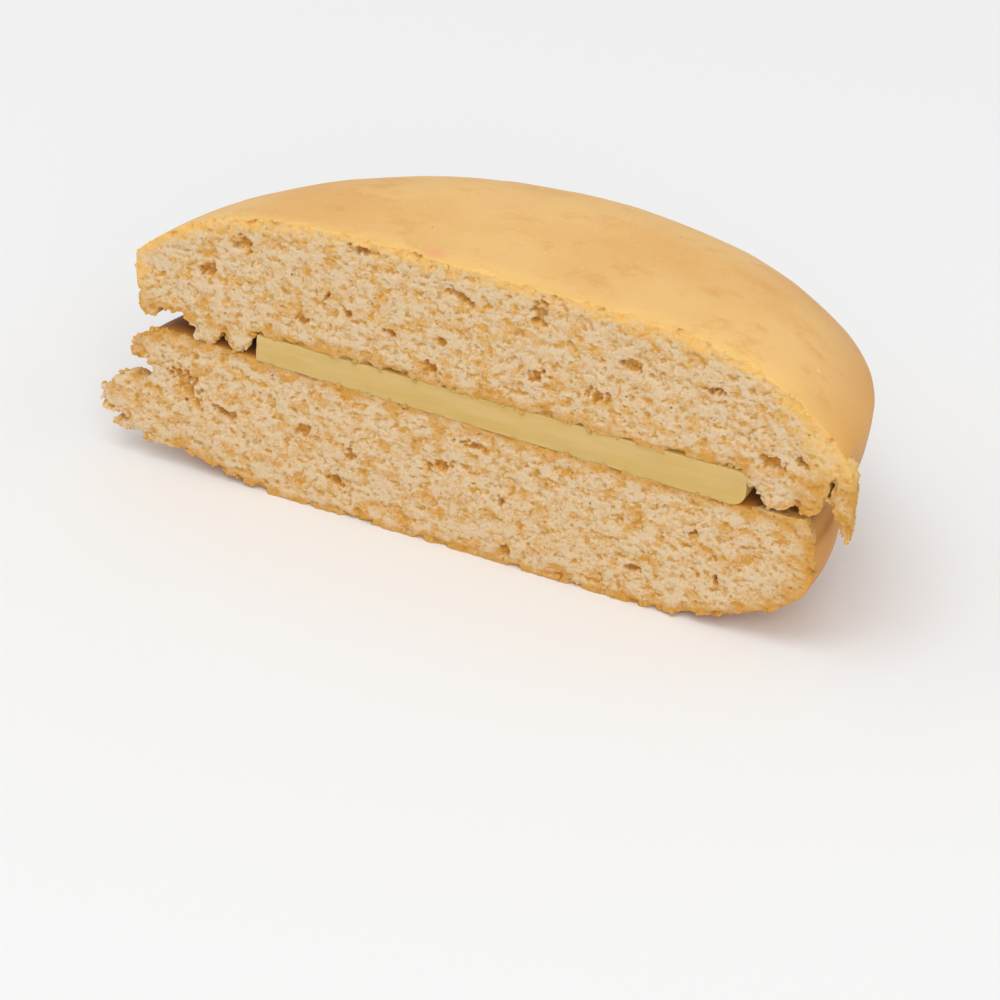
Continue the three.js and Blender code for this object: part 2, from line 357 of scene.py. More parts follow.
bottom_profile = [(0, 0), (BASE_RADIUS / 2, 0), (BASE_RADIUS, 0)]
for share in crowded(BASE_STEPS)[1:]:
    rise = 1 - (1 - share**BASE_CURL) ** (1 / BASE_TURN)
    bottom_profile.append((between(BASE_RADIUS, BOTTOM_RADIUS, share), WIDEST_Z * rise))
for share in reversed(crowded(SHOULDER_STEPS)[:-1]):
    fall = (BOTTOM_TOP_Z - WIDEST_Z) * share**SHOULDER_POWER
    bottom_profile.append((between(SHOULDER_START, BOTTOM_RADIUS, share), BOTTOM_TOP_Z - fall))
bottom_profile += [(20 * MM, BOTTOM_TOP_Z), (10 * MM, BOTTOM_TOP_Z), (0, BOTTOM_TOP_Z)]

bottom_cookie = spin_disc("lower_sponge", bottom_profile, BOTTOM_CENTRE_X)
tilt_points(
    bottom_cookie,
    lambda place: place.z > WIDEST_Z + TILT_CLEARANCE,
    BOTTOM_TOP_TILT,
    (BOTTOM_CENTRE_X, CUT_Y, BOTTOM_TOP_Z),
)
bottom_skin = surface_of(bottom_cookie)

# The torn left end on the cut: from the top by the cream, round the upper tip, into the bay,
# round the lip and its tongue, and back along the base, as (x, z) in mm.
TORN_END = [
    (-24, 12.5), (-24.4, 14.2), (-26.5, 14.5), (-28.4, 14.3), (-29.8, 14.8), (-31.5, 14.7),
    (-32.7, 15.1), (-34.4, 14.8), (-35.6, 15.1), (-36.2, 15.6), (-37.6, 15), (-39.1, 14.1),
    (-40.1, 13), (-40.1, 11.7), (-39.4, 11.1), (-38.3, 11.6), (-37.7, 11), (-37.1, 10.3),
    (-37.9, 9.2), (-39.3, 8.9), (-40.1, 9.2), (-41.2, 9.3), (-42.1, 8.3), (-42.6, 7.4),
    (-43.7, 7), (-43.7, 6), (-43.4, 4.4), (-42, 4.2), (-41.7, 4.5), (-40.3, 4.5),
    (-40.4, 4), (-41.5, 3.7), (-42.2, 3.1), (-40.4, 2.7), (-37.8, 2.2), (-34.8, 2.1),
    (-33.6, 2.5), (-32.2, 1.8), (-30.7, 2.3), (-27.9, 1.8), (-25.6, 1.4), (-23.8, 0.4), (-21, 3),
]
# What broke away behind that end's bay, wider at the cut than farther back.
TORN_AWAY = [(-46, 7), (-46, 12.9), (-38.6, 12.7), (-36.3, 11), (-36.4, 8.4), (-38, 7)]
# The crumbled upper right corner.
TORN_TOP_RIGHT = [
    (28.5, 13.9), (30, 13.6), (31.5, 14.3), (33.3, 14.5), (34.8, 14.3), (36.6, 14.6),
    (37.3, 13.4), (37.8, 12.3), (37.6, 9), (33, 9), (28, 12),
]
# The large gas pockets on the cut: (x, z, width, height) in mm, and the turn in degrees.
BOTTOM_POCKETS = [
    (-33.3, 9.9, 5, 2, 38),
    (-28.6, 8.0, 3.4, 0.9, 15),
    (-19, 8.5, 2.0, 1.2, -10),
    (-13.5, 7.5, 1.2, 1.9, 0),
    (-15, 3.8, 2.2, 1.0, 15),
    (-3, 9, 2.6, 1.2, -15),
    (0.5, 12.3, 3.2, 0.9, 0),
    (4, 7, 1.3, 1.1, 0),
    (5, 1.7, 1.0, 2.0, 10),
    (19, 4, 2.0, 0.8, 0),
    (25, 9.6, 1.8, 0.7, -20),
    (28, 5.3, 0.8, 1.3, 0),
]
combine(bottom_cookie, torn_slab(TORN_AWAY, depth=10, taper=0.3), "DIFFERENCE")
combine(bottom_cookie, torn_slab(TORN_END, depth=3), "UNION")
combine(bottom_cookie, torn_slab(TORN_TOP_RIGHT, depth=3), "UNION")
top_fringe = crumb_fringe(start_x=-24, end_x=29, start_z=14.6, end_z=13.8, seed=3)
combine(bottom_cookie, top_fringe, "UNION")
bottom_outside = surface_of(bottom_cookie)
bottom_block = cut_block(
    CUT_WIDTH,
    foot_z=-1 * MM,
    crown_z=16.5 * MM,
    pitch=CRUMB_PITCH,
    relief=lambda block: tear(block, bottom_outside, BOTTOM_POCKETS),
)
combine(bottom_cookie, bottom_block, "INTERSECT")


# Heat browned the crumb behind the skin, and farther in at the right rim. Edges that tore past
# the skin browned little, but for the rim's. The skin deep in the gap between the cookies gets
# painted shade, darker farther in from the gap's mouth and from the cut.
SKIN_THICKNESS = 0.04 * MM
PORE_SMOOTHING = 60
# How much deeper a gas pocket counts as a pore, for its painted shade.
POCKET_SHADE = 0.2
BROWNED_REACH = 1.9 * MM
RIM_REACH = 4.5 * MM
RIM_START = 31 * MM
RIM_WIDTH = 6 * MM
PAST_SKIN = 2 * MM
TORN_EDGE = 0.3
TORN_EDGE_AT_RIM = 0.9
GAP_SHADE_START = 1.2 * MM
GAP_SHADE_FADE = 2 * MM
GAP_FOOT_Z = 13.2 * MM
GAP_CROWN_Z = 18.6 * MM
GAP_MOUTH = 38.8 * MM
GAP_SHADE = 3 * MM


def mark_sponge(piece, skin, outside, centre_x, pockets):
    """Stores on each point its depth in a pore in mm, with painted shade added in gas pockets,
    how browned it is, and how much painted shade it gets in the gap between the cookies.
    """
    set_active(piece)
    bpy.ops.object.duplicate()
    smoothed = bpy.context.object
    smoothing = smoothed.modifiers.new("smoothing", "SMOOTH")
    smoothing.factor = 0.5
    smoothing.iterations = PORE_SMOOTHING
    bpy.ops.object.modifier_apply(modifier=smoothing.name)
    for name in ("pore_depth", "browned", "painted_gap_shade"):
        piece.data.attributes.new(name, "FLOAT", "POINT")
    marks = piece.data.attributes
    for vertex, level in zip(piece.data.vertices, smoothed.data.vertices):
        place = vertex.co
        in_pore = (level.co - place).dot(level.normal) / MM
        # Gas pockets count as deeper pores, so they get more painted shade.
        in_pore += POCKET_SHADE * in_pocket(place, pockets)
        marks["pore_depth"].data[vertex.index].value = in_pore
        at_rim = clamp((place.x - RIM_START) / RIM_WIDTH)
        reach = between(BROWNED_REACH, RIM_REACH, at_rim)
        at_skin, facing, _, to_skin = skin.find_nearest(place)
        to_edge = outside.find_nearest(place)[3]
        inside = 1 - clamp((place - at_skin).dot(facing) / PAST_SKIN)
        by_skin = inside * (1 - max(to_skin, to_edge) / reach)
        by_edge = between(TORN_EDGE, TORN_EDGE_AT_RIM, at_rim) * (1 - to_edge / BROWNED_REACH)
        marks["browned"].data[vertex.index].value = clamp(max(by_skin, by_edge))
        # Painted shade in the gap between the cookies, darker farther in from its mouth and from
        # the cut.
        inwards = clamp((GAP_MOUTH - math.hypot(place.x - centre_x, place.y - CUT_Y)) / GAP_SHADE)
        behind = clamp((place.y - CUT_Y - GAP_SHADE_START) / GAP_SHADE_FADE)
        in_gap = GAP_FOOT_Z < place.z < GAP_CROWN_Z
        marks["painted_gap_shade"].data[vertex.index].value = inwards * behind if in_gap else 0
    bpy.data.objects.remove(smoothed)


def finish_sponge(piece, skin, outside, centre_x, pockets):
    """Gives the baked skin and the torn crumb their own materials, and smooths the shading."""
    mark_sponge(piece, skin, outside, centre_x, pockets)
    piece.data.materials.clear()
    piece.data.materials.append(baked_skin)
    piece.data.materials.append(torn_crumb)
    for face in piece.data.polygons:
        depth = max(skin.find_nearest(face.center)[3], outside.find_nearest(face.center)[3])
        face.material_index = 1 if depth > SKIN_THICKNESS else 0
    set_active(piece)
    bpy.ops.object.shade_smooth()


def linear(hex_colour):
    """An sRGB hex colour as linear red, green, blue and alpha."""
    channels = [int(hex_colour[i : i + 2], 16) / 255 for i in (1, 3, 5)]
    return [c / 12.92 if c <= 0.04045 else ((c + 0.055) / 1.055) ** 2.4 for c in channels] + [1]


def add_node(material, kind, settings=None, links=None, output=None):
    """Adds a node with its options, socket values and links. Returns one of its outputs."""
    node = material.node_tree.nodes.new(kind)
    for name, value in (settings or {}).items():
        if hasattr(node, name):
            setattr(node, name, value)
    sockets = {socket.identifier: socket for socket in node.inputs}
    for name, value in (settings or {}).items():
        if name in sockets:
            sockets[name].default_value = value
    for name, source in (links or {}).items():
        material.node_tree.links.new(source, sockets[name])
    if output:
        return node.outputs[output]
    return next((socket for socket in node.outputs if socket.enabled), None)


def new_material(name):
    material = bpy.data.materials.new(name)
    material.use_nodes = True
    material.node_tree.nodes.clear()
    return material


# Sponge crumb: pale and floury where the walls of the pores tore, golden where their smooth
# insides show and partly painted shade there, with deeper painted shade that turns the deeper
# pores deep golden and the crevices brown. Just behind the baked skin it is yellow under the dome
# and golden brown elsewhere. Matt, and translucent enough to soften its own shadows.
CRUMB_PALE = "#d9c29f"
CRUMB_GOLDEN = "#cf9a48"
CRUMB_DEEP_SHADE = "#be8035"
CRUMB_CREVICE_SHADE = "#84501c"
CRUMB_BY_SKIN = "#cd9845"
CRUMB_BY_DOME = "#e8bb6c"
CRUMB_SPECK = "#7c4d20"

torn_crumb = new_material("sponge_crumb")
place = add_node(torn_crumb, "ShaderNodeTexCoord", output="Object")
depth = add_node(torn_crumb, "ShaderNodeAttribute", {"attribute_name": "pore_depth"}, output="Fac")
browned = add_node(torn_crumb, "ShaderNodeAttribute", {"attribute_name": "browned"}, output="Fac")
flattened = add_node(torn_crumb, "ShaderNodeMapping", {"Scale": (0.6, 1, 1)}, {"Vector": place})
patches = add_node(
    torn_crumb,
    "ShaderNodeTexNoise",
    {"Scale": 1 / (1.5 * MM), "Detail": 5, "Roughness": 0.76},
    {"Vector": flattened},
)
grain = add_node(
    torn_crumb,
    "ShaderNodeTexNoise",
    {"Scale": 1 / (0.3 * MM), "Detail": 3, "Roughness": 0.7},
    {"Vector": place},
)
patchy = add_node(
    torn_crumb,
    "ShaderNodeMapRange",
    {"From Min": 0.462, "From Max": 0.592, "To Min": 0.0, "To Max": 0.76},
    {"Value": patches},
)
# Golden by depth in a pore: the smooth insides' own colour, partly painted shade.
hollow_shade = add_node(
    torn_crumb,
    "ShaderNodeMapRange",
    {"From Min": 0.01, "From Max": 0.13, "To Min": 0.0, "To Max": 0.7},
    {"Value": depth},
)
grainy = add_node(
    torn_crumb,
    "ShaderNodeMapRange",
    {"From Min": 0.35, "From Max": 0.65, "To Min": -0.28, "To Max": 0.28},
    {"Value": grain},
)
golden = add_node(
    torn_crumb, "ShaderNodeMath", {"operation": "ADD"}, {"Value": patchy, "Value_001": hollow_shade}
)
golden = add_node(
    torn_crumb,
    "ShaderNodeMath",
    {"operation": "ADD", "use_clamp": True},
    {"Value": golden, "Value_001": grainy},
)
colour = add_node(
    torn_crumb,
    "ShaderNodeMix",
    {"data_type": "RGBA", "A_Color": linear(CRUMB_PALE), "B_Color": linear(CRUMB_GOLDEN)},
    {"Factor_Float": golden},
)
wandering = add_node(
    torn_crumb,
    "ShaderNodeMath",
    {"operation": "MULTIPLY_ADD", "Value_001": 2.6},
    {"Value": patches, "Value_002": browned},
)
by_skin = add_node(
    torn_crumb,
    "ShaderNodeMapRange",
    {"From Min": 1.42, "From Max": 2.15, "To Min": 0.0, "To Max": 0.86},
    {"Value": wandering},
)
under_dome = add_node(
    torn_crumb,
    "ShaderNodeMapRange",
    {"From Min": 18.5 * MM, "From Max": 21 * MM},
    {"Value": add_node(torn_crumb, "ShaderNodeSeparateXYZ", links={"Vector": place}, output="Z")},
)
edge_colour = add_node(
    torn_crumb,
    "ShaderNodeMix",
    {"data_type": "RGBA", "A_Color": linear(CRUMB_BY_SKIN), "B_Color": linear(CRUMB_BY_DOME)},
    {"Factor_Float": under_dome},
)
colour = add_node(
    torn_crumb,
    "ShaderNodeMix",
    {"data_type": "RGBA"},
    {"Factor_Float": by_skin, "A_Color": colour, "B_Color": edge_colour},
)
# Painted shade by depth in a pore: deep golden in deeper pores, brown in the crevices.
for shade_colour, shallow, deep in ((CRUMB_DEEP_SHADE, 0.15, 0.45), (CRUMB_CREVICE_SHADE, 0.5, 0.9)):
    crevice_shade = add_node(
        torn_crumb,
        "ShaderNodeMapRange",
        {"From Min": shallow, "From Max": deep, "To Min": 0.0, "To Max": 0.8},
        {"Value": depth},
    )
    colour = add_node(
        torn_crumb,
        "ShaderNodeMix",
        {"data_type": "RGBA", "B_Color": linear(shade_colour)},
        {"Factor_Float": crevice_shade, "A_Color": colour},
    )
to_speck = add_node(
    torn_crumb, "ShaderNodeTexVoronoi", {"Scale": 1 / (2.6 * MM)}, {"Vector": place}
)
specked = add_node(
    torn_crumb,
    "ShaderNodeMapRange",
    {"From Min": 0.03, "From Max": 0.07, "To Min": 0.8, "To Max": 0.0},
    {"Value": to_speck},
)
colour = add_node(
    torn_crumb,
    "ShaderNodeMix",
    {"data_type": "RGBA", "B_Color": linear(CRUMB_SPECK)},
    {"Factor_Float": specked, "A_Color": colour},
)
bump = add_node(
    torn_crumb, "ShaderNodeBump", {"Strength": 0.65, "Distance": 0.1 * MM}, {"Height": grain}
)
surface = add_node(
    torn_crumb,
    "ShaderNodeBsdfPrincipled",
    {
        "Roughness": 0.9,
        "IOR": 1.4,
        "Specular IOR Level": 0.2,
        "Subsurface Weight": 0.7,
        "Subsurface Radius": (1.0, 0.5, 0.25),
        "Subsurface Scale": 0.5 * MM,
    },
    {"Base Color": colour, "Normal": bump},
)
add_node(torn_crumb, "ShaderNodeOutputMaterial", links={"Surface": surface})

# Baked skin: thin, smooth and satin. It is golden, with painted light that makes it brighter and
# yellower along the cut, soft amber blotches, a fine mottle, a few pin pores and grains of flour,
# and one pink spot. It is browner down the sides, and painted shade makes it deep brown in the
# gap between the cookies.
SKIN_GOLD = "#ecbd76"
SKIN_AMBER = "#dfa154"
SKIN_MOTTLE_AND_LIGHT = "#f8ca78"
SKIN_BROWN = "#c68534"
SKIN_GAP_SHADE = "#8f5520"
SKIN_PORE = "#8d5a26"
SKIN_FLOUR = "#f4dcae"
SKIN_PINK = "#ec9a72"
PINK_SPOT = (-6.0 * MM, -14.9 * MM, 31.3 * MM)

baked_skin = new_material("baked_skin")
place = add_node(baked_skin, "ShaderNodeTexCoord", output="Object")
painted_gap_shade = add_node(
    baked_skin, "ShaderNodeAttribute", {"attribute_name": "painted_gap_shade"}, output="Fac"
)
along = add_node(baked_skin, "ShaderNodeSeparateXYZ", links={"Vector": place}, output="Y")
height = add_node(baked_skin, "ShaderNodeSeparateXYZ", links={"Vector": place}, output="Z")
clouds = add_node(
    baked_skin,
    "ShaderNodeTexNoise",
    {"Scale": 1 / (12 * MM), "Detail": 3, "Roughness": 0.5},
    {"Vector": place},
)
blotches = add_node(
    baked_skin,
    "ShaderNodeTexNoise",
    {"Scale": 1 / (4 * MM), "Detail": 5, "Roughness": 0.65},
    {"Vector": place},
)
mottle = add_node(
    baked_skin,
    "ShaderNodeTexNoise",
    {"Scale": 1 / (0.4 * MM), "Detail": 3, "Roughness": 0.7},
    {"Vector": place},
)
cloudy = add_node(
    baked_skin,
    "ShaderNodeMapRange",
    {"From Min": 0.42, "From Max": 0.66, "To Min": 0.0, "To Max": 0.5},
    {"Value": clouds},
)
colour = add_node(
    baked_skin,
    "ShaderNodeMix",
    {"data_type": "RGBA", "A_Color": linear(SKIN_GOLD), "B_Color": linear(SKIN_AMBER)},
    {"Factor_Float": cloudy},
)
# Painted light: the skin is brighter and yellower along the cut, with a cloudy edge to the band.
painted_light_by_cut = add_node(
    baked_skin,
    "ShaderNodeMath",
    {"operation": "MULTIPLY_ADD", "Value_001": 5 * MM},
    {"Value": clouds, "Value_002": along},
)
# The skin's tones, one over the other: what each follows, the values between which its share
# changes, its share at both, and its colour.
for guide, start, end, share_at_start, share_at_end, tone in (
    (painted_light_by_cut, CUT_Y + 2 * MM, CUT_Y + 6.5 * MM, 0.95, 0.0, SKIN_MOTTLE_AND_LIGHT),
    (blotches, 0.54, 0.7, 0.0, 0.7, SKIN_AMBER),
    (mottle, 0.5, 0.75, 0.0, 0.45, SKIN_MOTTLE_AND_LIGHT),
    (along, CUT_Y + 0.5 * MM, CUT_Y + 2.2 * MM, 0.5, 0.0, CRUMB_BY_DOME),
    (height, 18.5 * MM, 28 * MM, 0.9, 0.0, SKIN_BROWN),
):
    share = add_node(
        baked_skin,
        "ShaderNodeMapRange",
        {"From Min": start, "From Max": end, "To Min": share_at_start, "To Max": share_at_end},
        {"Value": guide},
    )
    colour = add_node(
        baked_skin,
        "ShaderNodeMix",
        {"data_type": "RGBA", "B_Color": linear(tone)},
        {"Factor_Float": share, "A_Color": colour},
    )
# Pin pores and grains of flour: the middles of the cells of a Voronoi pattern, (cell size,
# radius, colour), with cells far larger than the dots so that they stay sparse.
for cell, radius, dot_colour in ((5 * MM, 0.16 * MM, SKIN_PORE), (8 * MM, 0.3 * MM, SKIN_FLOUR)):
    to_middle = add_node(
        baked_skin, "ShaderNodeTexVoronoi", {"Scale": 1 / cell}, {"Vector": place}
    )
    dotted = add_node(
        baked_skin,
        "ShaderNodeMapRange",
        {"From Min": radius / cell / 2, "From Max": radius / cell, "To Min": 0.7, "To Max": 0.0},
        {"Value": to_middle},
    )
    colour = add_node(
        baked_skin,
        "ShaderNodeMix",
        {"data_type": "RGBA", "B_Color": linear(dot_colour)},
        {"Factor_Float": dotted, "A_Color": colour},
    )
to_spot = add_node(
    baked_skin,
    "ShaderNodeVectorMath",
    {"operation": "DISTANCE", "Vector_001": PINK_SPOT},
    {"Vector": place},
    output="Value",
)
pink = add_node(
    baked_skin,
    "ShaderNodeMapRange",
    {"From Min": 0.3 * MM, "From Max": 1.8 * MM, "To Min": 0.65, "To Max": 0.0},
    {"Value": to_spot},
)
colour = add_node(
    baked_skin,
    "ShaderNodeMix",
    {"data_type": "RGBA", "B_Color": linear(SKIN_PINK)},
    {"Factor_Float": pink, "A_Color": colour},
)
# Painted shade: the skin turns deep brown in the gap between the cookies.
deep = add_node(
    baked_skin, "ShaderNodeMath", {"operation": "MULTIPLY", "Value_001": 0.8}, {"Value": painted_gap_shade}
)
colour = add_node(
    baked_skin,
    "ShaderNodeMix",
    {"data_type": "RGBA", "B_Color": linear(SKIN_GAP_SHADE)},
    {"Factor_Float": deep, "A_Color": colour},
)
bump = add_node(
    baked_skin, "ShaderNodeBump", {"Strength": 0.2, "Distance": 0.08 * MM}, {"Height": mottle}
)
surface = add_node(
    baked_skin,
    "ShaderNodeBsdfPrincipled",
    {
        "Roughness": 0.55,
        "IOR": 1.45,
        "Specular IOR Level": 0.35,
        "Subsurface Weight": 0.2,
        "Subsurface Radius": (1.0, 0.55, 0.25),
        "Subsurface Scale": 0.8 * MM,
    },
    {"Base Color": colour, "Normal": bump},
)
add_node(baked_skin, "ShaderNodeOutputMaterial", links={"Surface": surface})

finish_sponge(bottom_cookie, bottom_skin, bottom_outside, BOTTOM_CENTRE_X, BOTTOM_POCKETS)
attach(bottom_cookie, "root")
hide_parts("bottom_cookie")


# ---------------------------------------------------------------------- the banana cream
# A firm, set cream in a slab a little smaller than the cookies, thicker on the right. The knife
# went through it cleanly and left faint level drag marks. Its left end is square, and its lower
# edge on the right is rounded.
CREAM_RADIUS = 27.6 * MM
CREAM_CENTRE_X = 2.65 * MM
CREAM_TOP_Z = 17.75 * MM
CREAM_FOOT_Z = 14.5 * MM
CREAM_TILT = math.radians(0.93)
CREAM_FOOT_ROUND = 1.5 * MM
CREAM_TOP_ROUND = 0.7 * MM
CREAM_ROUND_START = 10 * MM
CREAM_SETBACK = 0.4 * MM
CREAM_PITCH = 0.25 * MM
ON_LEVEL = 0.5 * MM  # these two pick out the slab's top or foot, and its outer edge
ON_EDGE = 0.05 * MM
CREAM_WAVES = 0.35 * MM
DRAG_DEPTH = 0.12 * MM
LEVEL_DRAG = (14, 14, 1)

cream_profile = [(0, CREAM_FOOT_Z), (CREAM_RADIUS / 2, CREAM_FOOT_Z), (CREAM_RADIUS, CREAM_FOOT_Z)]
cream_profile += [(CREAM_RADIUS, CREAM_TOP_Z), (CREAM_RADIUS / 2, CREAM_TOP_Z), (0, CREAM_TOP_Z)]
cream = spin_disc("banana_cream_slab", cream_profile, CREAM_CENTRE_X)
tilt_points(
    cream,
    lambda place: place.z < CREAM_TOP_Z - ON_LEVEL,
    CREAM_TILT,
    (CREAM_CENTRE_X, CUT_Y, CREAM_FOOT_Z),
)
set_active(cream)
for at_foot, rounding in ((True, CREAM_FOOT_ROUND), (False, CREAM_TOP_ROUND)):
    bpy.ops.object.mode_set(mode="EDIT")
    bpy.ops.mesh.select_mode(type="EDGE")
    bpy.ops.mesh.select_all(action="DESELECT")
    bpy.ops.object.mode_set(mode="OBJECT")
    for edge in cream.data.edges:
        ends = [cream.data.vertices[index].co for index in edge.vertices]
        edge.select = all(
            end.x > CREAM_ROUND_START
            and (end.z < CREAM_TOP_Z - ON_LEVEL) == at_foot
            and math.hypot(end.x - CREAM_CENTRE_X, end.y - CUT_Y) > CREAM_RADIUS - ON_EDGE
            for end in ends
        )
    bpy.ops.object.mode_set(mode="EDIT")
    bpy.ops.mesh.bevel(offset=rounding, segments=8)
    bpy.ops.object.mode_set(mode="OBJECT")

knife_drag = noise("knife_drag", 0.5 * MM, noise_depth=2)
cream_waves = noise("cream_waves", 3 * MM, noise_depth=1)


def drag_knife(block):
    """Gives the block's front the soft waves and level marks of the knife in the cream."""
    displace(block, cream_waves, CREAM_WAVES, "Y")
    displace(block, knife_drag, DRAG_DEPTH, "Y", stretch=LEVEL_DRAG)
    bpy.ops.object.mode_set(mode="EDIT")
    bpy.ops.mesh.select_all(action="SELECT")
    bpy.ops.transform.translate(value=(0, CREAM_SETBACK, 0))
    bpy.ops.object.mode_set(mode="OBJECT")


cream_block = cut_block(
    64 * MM, foot_z=12 * MM, crown_z=20 * MM, pitch=CREAM_PITCH, relief=drag_knife
)
combine(cream, cream_block, "INTERSECT")
set_active(cream)
bpy.ops.object.shade_smooth_by_angle(angle=math.radians(40))

# Set banana cream: starch-set and dense, opaque but a little translucent at its skin, satin
# where the knife wiped it, with faint paler streaks along the cut.
CREAM_YELLOW = "#ccaa62"
CREAM_PALE = "#d5b77c"

set_cream = new_material("set_banana_cream")
place = add_node(set_cream, "ShaderNodeTexCoord", output="Object")
streaks = add_node(set_cream, "ShaderNodeMapping", {"Scale": (0.15, 1, 1)}, {"Vector": place})
veil = add_node(
    set_cream,
    "ShaderNodeTexNoise",
    {"Scale": 1 / (1.2 * MM), "Detail": 3, "Roughness": 0.6},
    {"Vector": streaks},
)
veiled = add_node(
    set_cream,
    "ShaderNodeMapRange",
    {"From Min": 0.35, "From Max": 0.7, "To Min": 0.0, "To Max": 0.7},
    {"Value": veil},
)
colour = add_node(
    set_cream,
    "ShaderNodeMix",
    {"data_type": "RGBA", "A_Color": linear(CREAM_YELLOW), "B_Color": linear(CREAM_PALE)},
    {"Factor_Float": veiled},
)
surface = add_node(
    set_cream,
    "ShaderNodeBsdfPrincipled",
    {
        "Roughness": 0.5,
        "IOR": 1.45,
        "Specular IOR Level": 0.4,
        "Subsurface Weight": 0.4,
        "Subsurface Radius": (1.0, 0.7, 0.35),
        "Subsurface Scale": 1.5 * MM,
    },
    {"Base Color": colour},
)
add_node(set_cream, "ShaderNodeOutputMaterial", links={"Surface": surface})
cream.data.materials.clear()
cream.data.materials.append(set_cream)
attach(cream, "root")
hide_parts("banana_cream")


# ---------------------------------------------------------------------- the upper cookie
# The same sponge, baked as a flat dome whose rim turns down past its underside, closed over the
# cream a little out of line. Torn crumb hangs from its underside on both sides of the slab.
TOP_RADIUS = 39.88 * MM
TOP_CENTRE_X = 0.15 * MM
CROWN_Z = 31.25 * MM
DOME_POWER = 4.9
DOME_STEPS = 34
SHOULDER_RADIUS = 39.6 * MM
SHOULDER_Z = 23.2 * MM
SHOULDER_ARC_STEPS = 8
SIDE_TUCK = 0.6 * MM
LIP_Z = 16.6 * MM
LIP_WIDTH = 2.2 * MM
LIP_STEPS = 10
UNDERSIDE_Z = 17.75 * MM
HOLLOW_RADIUS = 35.5 * MM
LEAN_RIGHT = math.radians(0.79)
LEAN_BACK = math.radians(0.65)
LEAN_CLEARANCE = 0.1 * MM
DOME_SWELL = 0.4 * MM
DOME_DIMPLES = 0.12 * MM

top_profile = [(radius * MM, UNDERSIDE_Z) for radius in (0, 8, 16, 24, 30, 33)]
top_profile.append((HOLLOW_RADIUS, UNDERSIDE_Z))
foot_radius = TOP_RADIUS - SIDE_TUCK - LIP_WIDTH / 2
for step in range(LIP_STEPS + 1):
    angle = math.pi * (1 + step / LIP_STEPS)
    top_profile.append(
        (
            foot_radius + LIP_WIDTH / 2 * math.cos(angle),
            LIP_Z + LIP_WIDTH / 2 * (1 + math.sin(angle)),
        )
    )
dome_drop = CROWN_Z - SHOULDER_Z
dome_slope = math.atan(dome_drop * DOME_POWER / SHOULDER_RADIUS)
shoulder_arc = (TOP_RADIUS - SHOULDER_RADIUS) / (1 - math.sin(dome_slope))
side_z = LIP_Z + LIP_WIDTH / 2
widest_z = SHOULDER_Z - shoulder_arc * math.cos(dome_slope)
for share in (0.15, 0.3, 0.45, 0.6, 0.75, 0.9):
    top_profile.append(
        (TOP_RADIUS - SIDE_TUCK * (1 - share) ** 2, between(side_z, widest_z, share))
    )
for step in range(SHOULDER_ARC_STEPS + 1):
    angle = step / SHOULDER_ARC_STEPS * (math.pi / 2 - dome_slope)
    top_profile.append(
        (
            TOP_RADIUS - shoulder_arc * (1 - math.cos(angle)),
            SHOULDER_Z - shoulder_arc * (math.cos(dome_slope) - math.sin(angle)),
        )
    )
for share in reversed(crowded(DOME_STEPS)[:-1]):
    top_profile.append((share * SHOULDER_RADIUS, CROWN_Z - dome_drop * share**DOME_POWER))

top_cookie = spin_disc("upper_sponge", top_profile, TOP_CENTRE_X)
for lean, axis in ((LEAN_RIGHT, "Y"), (-LEAN_BACK, "X")):
    tilt_points(
        top_cookie,
        lambda place: place.z > UNDERSIDE_Z + LEAN_CLEARANCE,
        lean,
        (TOP_CENTRE_X, CUT_Y, UNDERSIDE_Z),
        axis,
    )
dome_swell = noise("dome_swell", 15 * MM, noise_depth=1)
dome_dimples = noise("dome_dimples", 4 * MM, noise_depth=1)
displace(top_cookie, dome_swell, DOME_SWELL, "Z", middle=0.6)
displace(top_cookie, dome_dimples, DOME_DIMPLES)
top_skin = surface_of(top_cookie)

# Crumb that hangs below the underside left and right of the cream, and the flap of the rim that
# the knife dragged down at the right end, as (x, z) in mm on the cut.
HANGING_LEFT = [
    (-36.4, 18.6), (-35.4, 17.6), (-34.3, 17.6), (-33.3, 17.1), (-32.8, 16.6), (-32.6, 15.3),
    (-31.6, 14.9), (-30.5, 15.1), (-29.6, 16), (-29.4, 17), (-28.7, 17), (-28.4, 15.9),
    (-27.6, 15.2), (-26.8, 15.2), (-25.9, 16.2), (-25.6, 17.1), (-25, 17.8), (-26, 19.5),
]
HANGING_RIGHT = [
    (29.6, 18), (30.5, 16.4), (31.7, 15.5), (32.5, 14.8), (34.2, 15), (35.4, 15.9),
    (36, 15.1), (37.5, 15.2), (38.3, 16.4), (38.6, 17.4), (38.7, 19.5), (37, 21), (31, 20),
]
FLAP = [
    (38.4, 22), (40, 22.3), (40.6, 21.4), (41, 20.2), (41.2, 18), (41.1, 15.4), (41.2, 12.9),
    (40.1, 13.7), (39.4, 16), (38.9, 17.8), (39.1, 19.6),
]
# The groove that parts the flap from the rim.
FLAP_GROOVE = [(38.8, 15.5), (38.9, 17.6), (39, 19.5), (38.6, 19.5), (38.3, 16.5)]
